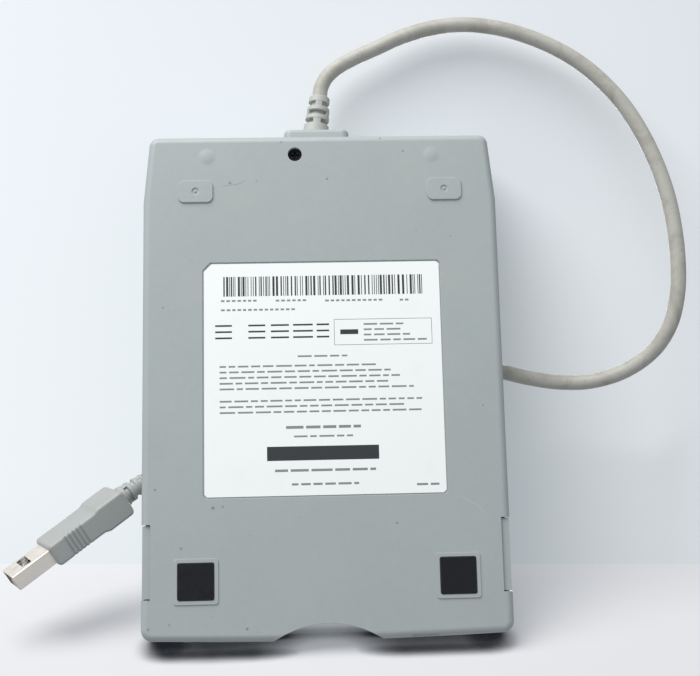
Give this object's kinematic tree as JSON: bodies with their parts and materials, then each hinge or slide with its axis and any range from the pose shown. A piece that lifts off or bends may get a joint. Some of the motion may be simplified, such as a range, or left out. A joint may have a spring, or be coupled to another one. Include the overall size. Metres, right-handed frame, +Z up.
{
  "type": "external floppy disk drive",
  "caption": "Slim grey external disk drive with a slot and finger notch in front, a sprung door, an eject button and a captive USB lead looped over its top.",
  "frame": {"origin": "under the middle of the case, on the surface that the feet and rear pads stand on, with the lead and plug left out", "axes": "+Z up with the drive lying on its feet, the disk slot faces -Y, the lead leaves at +Y, +X is to the right of someone who faces the slot"},
  "size_m": [0.2007, 0.1839, 0.0256],
  "materials": {
    "case_plastic": "fine-grained moulded ABS, light grey",
    "door_plastic": "satin dark grey",
    "lens": "clear greenish light guide",
    "label": "matt coated paper",
    "foot_rubber": "matt",
    "steel": "plated",
    "sheet_steel": "zinc-plated sheet",
    "zinc_screw": "zinc-plated",
    "dark_screw": "blackened",
    "cord": "soft grey cable jacket",
    "wire": "wire insulation",
    "grip": "soft moulded grip",
    "plug_metal": "nickel-plated",
    "white_plastic": "white moulded",
    "gold": "gold-plated",
    "board": "green solder mask",
    "chip": "black moulded",
    "core": "stacked laminations",
    "copper": "enamelled copper",
    "bronze": "sintered bronze",
    "magnet": "bonded ferrite",
    "black_plastic": "glass-filled black",
    "ceramic_head": "polished",
    "arm_metal": "spring bronze"
  },
  "bodies": {
    "housing": {"bottom_case": "case_plastic", "top_case": "case_plastic", "front_bezel": "case_plastic", "door_pin": "steel", "door_spring": "steel", "led_lens": "lens", "led_lamp": "lens", "label_plate": "label", "rubber_foot_left": "foot_rubber", "rubber_foot_right": "foot_rubber", "case_screw": "dark_screw", "cable_gland": "cord", "cable": "cord", "cable_wires": "wire", "plug_body": "grip", "plug_shell": "plug_metal", "plug_insulator": "white_plastic", "plug_contacts": "gold", "drive_chassis": "sheet_steel", "chassis_cover": "sheet_steel", "drive_screws": "zinc_screw", "small_screws": "zinc_screw", "eject_springs": "steel", "motor_board": "board", "stator_core": "core", "stator_coils": "copper", "spindle_bearing": "bronze", "guide_rods": "steel", "rod_clamps": "zinc_screw", "stepper_motor": "steel", "stepper_bracket": "sheet_steel", "track_switch": "black_plastic", "disk_switches": "black_plastic", "logic_board": "board", "logic_chips": "chip", "usb_board": "board", "usb_chips": "chip", "cable_socket": "white_plastic", "flat_cable": "white_plastic"},
    "door": {"slot_door": "door_plastic"},
    "ejector": {"eject_button": "case_plastic", "eject_slider": "sheet_steel"},
    "cage": {"disk_cage": "sheet_steel", "cage_pins": "steel", "lever_pin": "steel", "lever_spring": "steel"},
    "lever": {"shutter_lever": "sheet_steel"},
    "rotor": {"rotor_cup": "sheet_steel", "rotor_magnet": "magnet", "spindle_shaft": "steel", "chucking_hub": "magnet", "drive_pin": "steel"},
    "carriage": {"head_carriage": "black_plastic", "lower_head": "ceramic_head", "follower_pin": "steel", "arm_pivot": "steel"},
    "arm": {"upper_head_arm": "arm_metal", "upper_head": "ceramic_head", "arm_spring": "arm_metal"},
    "feed_screw": {"lead_screw": "steel"}
  },
  "joints": [
    {"name": "door_swing", "type": "hinge", "parent": "housing", "child": "door", "pos_m": [0, -0.0659, 0.0152], "axis": [1, 0, 0], "range_deg": [0, 88], "stiffness_Nm_per_rad": 0.0006, "springref_deg": -20.05},
    {"name": "eject_slide", "type": "slide", "parent": "housing", "child": "ejector", "axis": [0, -1, 0], "range_m": [0, 0.0055]},
    {"name": "cage_drop", "type": "slide", "parent": "housing", "child": "cage", "axis": [0, 0, -1], "range_m": [0, 0.0022]},
    {"name": "lever_swing", "type": "hinge", "parent": "cage", "child": "lever", "pos_m": [-0.024, 0.0075, 0.0141], "axis": [0, 0, -1], "range_deg": [0, 60]},
    {"name": "spindle_turn", "type": "hinge", "parent": "housing", "child": "rotor", "pos_m": [0, -0.02, 0.0057], "axis": [0, 0, 1], "continuous": true},
    {"name": "head_seek", "type": "slide", "parent": "housing", "child": "carriage", "axis": [0, -1, 0], "range_m": [0, 0.015]},
    {"name": "arm_lift", "type": "hinge", "parent": "carriage", "child": "arm", "pos_m": [0, 0.047, 0.0131], "axis": [1, 0, 0], "range_deg": [0, 7.5]},
    {"name": "feed_screw_turn", "type": "hinge", "parent": "housing", "child": "feed_screw", "pos_m": [0.019, 0.0255, 0.0063], "axis": [0, 1, 0], "range_deg": [0, 1440]}
  ],
  "couplings": [
    {"joint": "cage_drop", "follows": "eject_slide", "ratio": 0.4},
    {"joint": "lever_swing", "follows": "eject_slide", "rad_per_m": 190.3},
    {"joint": "arm_lift", "follows": "eject_slide", "rad_per_m": 23.8},
    {"joint": "feed_screw_turn", "follows": "head_seek", "rad_per_m": 1675.5}
  ]
}
